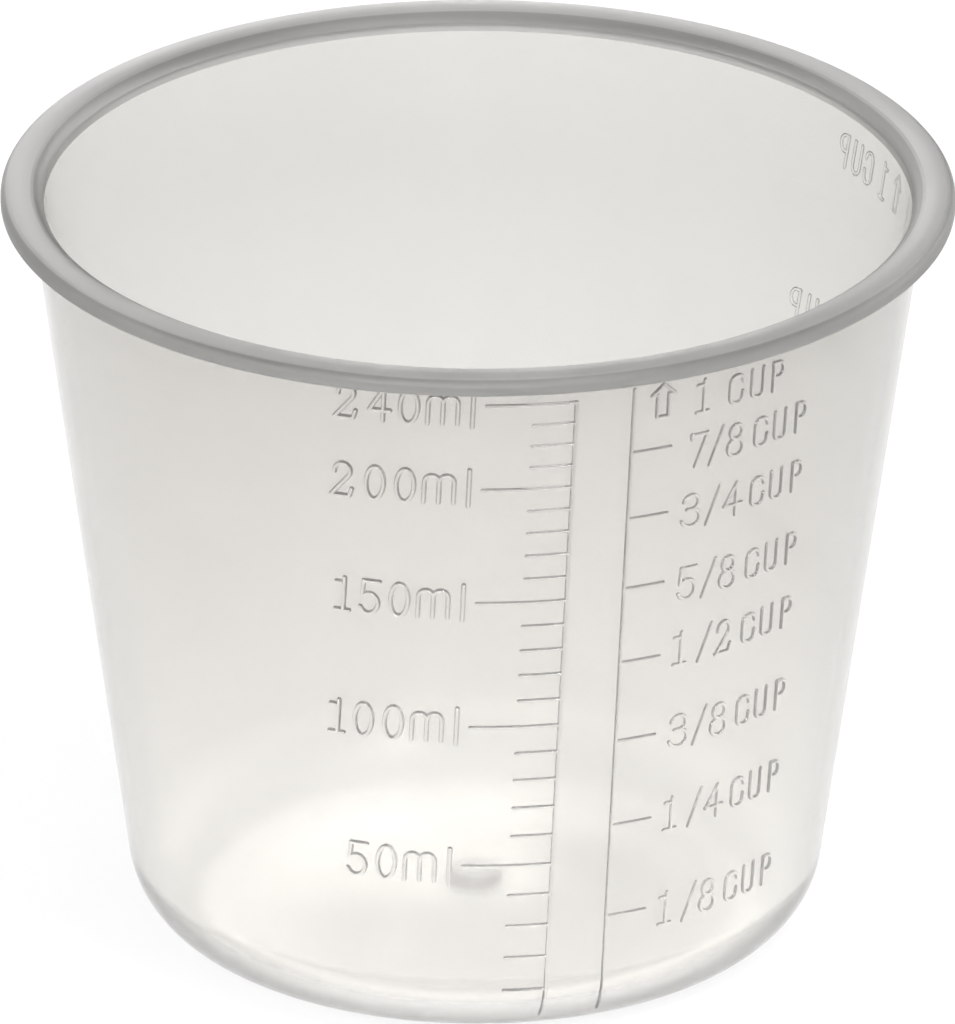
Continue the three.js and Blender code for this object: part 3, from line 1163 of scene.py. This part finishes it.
def cup_words(form, marks, levels):
    """Words of the eighths scale."""
    strokes = Strokes(form, marks)
    for fraction, foot, height in zip(CUP_FRACTIONS, CUP_FEET, levels):
        columns = list(CUP_COLUMNS)
        if fraction[0] == "7":
            columns[0] += SEVEN_ASIDE
        fraction_word(strokes, marks, fraction, columns, height + foot)
    one_cup(strokes, form, marks, 0)
    return strokes


def thirds_words(form, marks, levels):
    """Words of the thirds scale, with a second arrow at its one-cup mark."""
    strokes = Strokes(form, marks, THIRDS_AZIMUTH)
    columns = [THIRDS_ASIDE + left for left in CUP_COLUMNS]
    for fraction, height in zip(("1/3", "2/3"), levels):
        fraction_word(strokes, marks, fraction, columns, height + THIRDS_FOOT)
    one_cup(strokes, form, marks, THIRDS_ASIDE)
    draw_arrow(strokes, form, marks, ARROW_ALONG + THIRDS_ASIDE)
    return strokes


def draw_arrow(strokes, form, marks, along):
    """Outlined arrow that points up at the one-cup mark."""
    top = cup_top(form) + marks.line
    inset = marks.arrow_line / 2
    foot = top - ARROW_HEIGHT + inset
    neck = top - ARROW_HEAD + inset
    tip = top - inset * ARROW_TIP
    shaft = ARROW_SHAFT / 2 - inset
    span = ARROW_SPAN / 2 - inset
    right = [(shaft, foot), (shaft, neck), (span, neck), (0, tip)]
    left = [(-span, neck), (-shaft, neck), (-shaft, foot)]
    outline = right + left
    for start, end in zip(outline, outline[1:] + outline[:1]):
        strokes.line([(along + start[0], start[1]), (along + end[0], end[1])], marks.arrow_line)


# Operators


class CUP_OT_marks(bpy.types.Operator):
    """Raise the scales, the arrow and the words on the wall"""

    bl_idname = "cup.marks"
    bl_label = "Scales and words"

    def execute(self, context):
        form, marks = form_now(), marks_sizes()
        workshop["sweep"] = ridge_tree()
        body = stand_in(wall_body(form, marks))
        millilitres, levels = millilitre_strokes(form, marks)
        eighths, eighth_levels = fraction_strokes(form, marks, 0.0, marks.gap / 2, EIGHTHS)
        thirds, third_levels = fraction_strokes(form, marks, THIRDS_AZIMUTH, 0.0, THIRDS)
        arrow = Strokes(form, marks)
        draw_arrow(arrow, form, marks, ARROW_ALONG)
        low = marks.fraction_height
        wanted = [
            ("millilitre_marks", millilitres, ["millilitre_scale"], "raised_marks", marks.height),
            ("millilitre_words", millilitre_words(form, marks, levels), [], "raised_letters", marks.height),
            ("cup_marks", eighths, ["cup_scale"], "raised_marks", marks.height),
            ("cup_words", cup_words(form, marks, eighth_levels), [], "raised_fractions", low),
            ("thirds_marks", thirds, ["thirds_scale"], "raised_marks", marks.height),
            ("thirds_words", thirds_words(form, marks, third_levels), [], "raised_fractions", low),
            ("arrow_outline", arrow, ["one_cup_arrow"], "raised_marks", marks.height),
        ]
        joined = bmesh.new()
        for name, strokes, nodes, finish, height in wanted:
            mesh = raised(strokes, name, body, finish, height)
            joined.from_mesh(mesh)
            place_piece(name, mesh, nodes)
        bpy.data.objects.remove(body)
        workshop["ridges"] = bpy.data.meshes.new("all_ridges")
        joined.to_mesh(workshop["ridges"])
        joined.free()
        return {"FINISHED"}


class CUP_OT_wall(bpy.types.Operator):
    """Turn the tapered wall"""

    bl_idname = "cup.wall"
    bl_label = "Wall"

    def execute(self, context):
        shell_piece("tapered_wall", wall_runs, "milky_plastic", "cup_wall", seats=True)
        return {"FINISHED"}


class CUP_OT_base(bpy.types.Operator):
    """Turn the floor with its round corner and foot"""

    bl_idname = "cup.base"
    bl_label = "Base"

    def execute(self, context):
        shell_piece("round_base", base_runs, "base_plastic", "cup_base", seats=True)
        return {"FINISHED"}


class CUP_OT_bead(bpy.types.Operator):
    """Turn the solid rim"""

    bl_idname = "cup.bead"
    bl_label = "Rim"

    def execute(self, context):
        shell_piece("beaded_rim", bead_runs, "bead_plastic", "rim_bead")
        return {"FINISHED"}


class CUP_OT_gate(bpy.types.Operator):
    """Turn the boss and the stub that the moulding gate leaves"""

    bl_idname = "cup.gate"
    bl_label = "Gate"

    def execute(self, context):
        shell_piece("floor_boss", boss_runs, "gate_plastic", "gate_boss")
        shell_piece("gate_stub", stub_runs, "gate_plastic", "gate_vestige")
        return {"FINISHED"}


class CUP_OT_stage(bpy.types.Operator):
    """Lay the floor and set the light and the camera"""

    bl_idname = "cup.stage"
    bl_label = "Floor, light and camera"

    def execute(self, context):
        make_floor()
        make_room()
        make_camera()
        context.scene.view_settings.view_transform = "Standard"
        return {"FINISHED"}


# Stage

WHITE = (1, 1, 1, 1)
FLOOR_RADIUS = 12.0
FLOOR_SEGMENTS = 96
FLOOR_DROP = 0.02 * MM
FLOOR_GLOW = 0.8
FLOOR_HAZE = 0.9
FLOOR_GLOSS = 0.1
GRAIN_SCALE = 3.0
GRAIN_DETAIL = 4.0
GRAIN_SHADE = 0.99
BACKDROP_HEIGHT = 0.5
ROOM_THROUGH = 0.4
BOX_SOFT = 1.5
HALF_TURN = 180.0

# Soft boxes: azimuth of the middle (0 is straight behind the cup, 90 to its right), half width,
# lowest and highest elevation (degrees), brightness
SOFT_BOXES = {
    "window": (-3.5, 6.5, 4, 28, 4.4),
    "window left": (-20, 10, -5, 18, 2.7),
    "front low": (180, 30, -5, 10, 14.0),
    "front": (180, 30, 30, 45, 6.5),
    "front right low": (120, 30, -5, 10, 4.0),
    "front right": (120, 30, 10, 45, 0.5),
    "front right high": (120, 30, 45, 75, 2.4),
    "front left": (-120, 30, -5, 30, 2.7),
    "right": (60, 30, -5, 30, 2.8),
    "left": (-60, 30, -5, 45, 1.2),
    "overhead": (0, 190, 75, 95, 2.2),
    "overhead back": (0, 30, 60, 75, 2.2),
    "lamp": (145, 6, 50, 58, 40.0),
}

CAMERA_AZIMUTH = -16.7
CAMERA_ELEVATION = 24.26
CAMERA_ROLL = 0.27
CAMERA_DISTANCE = 3.0
CAMERA_HEIGHT = 39.03 * MM
CAMERA_ASIDE = 0.085 * MM
CAMERA_LENS = 1167.7
CAMERA_NEAR = 0.1
CAMERA_FAR = 100.0
FILM = 36.0


def seen_directly(graph):
    """1 for rays of the camera, of gloss and of clear plastic, else 0."""
    rays = ("Is Camera Ray", "Is Glossy Ray", "Is Transmission Ray")
    camera, gloss, through = (graph.add("ShaderNodeLightPath", output=ray) for ray in rays)
    return camera.larger(gloss).larger(through)


def make_floor():
    """A round pale floor whose far edge turns up into a low backdrop, white to the camera."""
    tone = bpy.context.scene.cup_stage.floor
    material, graph = shader("pale_floor")
    grain = graph.noise(graph.place(), GRAIN_SCALE, GRAIN_DETAIL)
    matt = graph.surface({
        "Base Color": graph.blend(grain, rgba(tone, GRAIN_SHADE), rgba(tone)),
        "Roughness": FLOOR_HAZE,
        "Specular IOR Level": FLOOR_GLOSS,
    })
    glow = graph.add("ShaderNodeEmission", None, {"Color": WHITE, "Strength": 1.0}, "Emission")
    glowing = seen_directly(graph) * FLOOR_GLOW
    mixed = graph.add("ShaderNodeMixShader", None, {0: glowing, 1: matt, 2: glow}, "Shader")
    graph.close("ShaderNodeOutputMaterial", "Surface", mixed)
    mesh = bpy.data.meshes.new("floor")
    sheet = bmesh.new()
    bmesh.ops.create_circle(sheet, cap_ends=True, segments=FLOOR_SEGMENTS, radius=FLOOR_RADIUS)
    edge = [item for item in sheet.edges if item.is_boundary]
    skirt = bmesh.ops.extrude_edge_only(sheet, edges=edge)["geom"]
    upper = [item for item in skirt if isinstance(item, bmesh.types.BMVert)]
    bmesh.ops.translate(sheet, vec=(0, 0, BACKDROP_HEIGHT), verts=upper)
    sheet.to_mesh(mesh)
    sheet.free()
    mesh.materials.append(material)
    floor = bpy.data.objects.new("floor", mesh)
    bpy.context.scene.collection.objects.link(floor)
    floor.location.z = -FLOOR_DROP


def make_room():
    """A dim studio with soft boxes, painted by direction. The floor hides it from the camera."""
    world = bpy.data.worlds.new("room")
    world.use_nodes = True
    world.node_tree.nodes.clear()
    graph = Graph(world.node_tree)
    direction = graph.add("ShaderNodeTexCoord", output="Generated")
    spin = {"Vector": direction, "Angle": -math.radians(CAMERA_AZIMUTH)}
    facing = graph.add("ShaderNodeVectorRotate", {"rotation_type": "Z_AXIS"}, spin, "Vector")
    x, y, z = graph.axes(facing)
    azimuth = graph.maths("ARCTAN2", x, y) * math.degrees(1)
    elevation = graph.maths("ARCSINE", z) * math.degrees(1)
    boxes = [soft_box(graph, azimuth, elevation, *box) for box in SOFT_BOXES.values()]
    light = sum(boxes[1:], boxes[0]) + bpy.context.scene.cup_stage.room_light
    through = graph.add("ShaderNodeLightPath", output="Is Transmission Ray") * ROOM_THROUGH
    glow = {"Color": WHITE, "Strength": light.larger(through)}
    background = graph.add("ShaderNodeBackground", None, glow, "Background")
    graph.close("ShaderNodeOutputWorld", "Surface", background)
    bpy.context.scene.world = world


def soft_box(graph, azimuth, elevation, middle, half, low, high, strength):
    """Light of one soft box, which fades out at its four edges."""
    aside = graph.maths("ABSOLUTE", graph.maths("WRAP", azimuth - middle, HALF_TURN, -HALF_TURN))
    inside = faded(graph, aside, half, -1) * faded(graph, elevation, low, 1)
    return inside * faded(graph, elevation, high, -1) * strength


def faded(graph, angle, edge, rising):
    """0 on one side of an edge and 1 on the other, with a soft step. Rising is 1 or -1."""
    return graph.step(angle, edge - rising * BOX_SOFT, edge + rising * BOX_SOFT)


def make_camera():
    """A camera far off with a long lens, aimed at the middle of the cup."""
    turn, rise, roll = (math.radians(a) for a in (CAMERA_AZIMUTH, CAMERA_ELEVATION, CAMERA_ROLL))
    back = Vector((math.sin(turn) * math.cos(rise), -math.cos(turn) * math.cos(rise), math.sin(rise)))
    right = Vector((math.cos(turn), math.sin(turn), 0))
    up = back.cross(right)
    across = right * math.cos(roll) + up * math.sin(roll)
    above = up * math.cos(roll) - right * math.sin(roll)
    lens = bpy.data.cameras.new("camera")
    lens.sensor_fit = "VERTICAL"
    lens.sensor_height = FILM
    lens.sensor_width = FILM
    lens.lens = CAMERA_LENS
    lens.clip_start = CAMERA_NEAR
    lens.clip_end = CAMERA_FAR
    camera = bpy.data.objects.new("camera", lens)
    place = Vector((0, 0, CAMERA_HEIGHT)) + back * CAMERA_DISTANCE + across * CAMERA_ASIDE
    camera.matrix_world = Matrix.Translation(place) @ Matrix((across, above, back)).transposed().to_4x4()
    bpy.context.scene.collection.objects.link(camera)
    bpy.context.scene.camera = camera


# Panel


class CUP_PT_build(bpy.types.Panel):
    """Lists the steps that build the cup"""

    bl_label = "Measuring Cup"
    bl_space_type = "VIEW_3D"
    bl_region_type = "UI"
    bl_category = "Cup"

    def draw(self, context):
        for operator in OPERATORS:
            self.layout.operator(operator.bl_idname)
        for name, group in GROUPS.items():
            box = self.layout.box()
            for key in group.__annotations__:
                box.prop(getattr(context.scene, name), key)


GROUPS = {"cup_sizes": CupSizes, "cup_marks": MarkSizes, "cup_finish": CupFinish, "cup_stage": StageLook}
OPERATORS = [CUP_OT_marks, CUP_OT_wall, CUP_OT_base, CUP_OT_bead, CUP_OT_gate, CUP_OT_stage]
CLASSES = [*GROUPS.values(), *OPERATORS, CUP_PT_build]


def register():
    for item in CLASSES:
        bpy.utils.register_class(item)
    for name, group in GROUPS.items():
        setattr(bpy.types.Scene, name, PointerProperty(type=group))


def unregister():
    for name in GROUPS:
        delattr(bpy.types.Scene, name)
    for item in reversed(CLASSES):
        bpy.utils.unregister_class(item)


def main():
    register()
    bpy.ops.cup.marks()
    bpy.ops.cup.wall()
    bpy.ops.cup.base()
    bpy.ops.cup.bead()
    bpy.ops.cup.gate()
    bpy.ops.cup.stage()


if __name__ == "__main__":
    main()
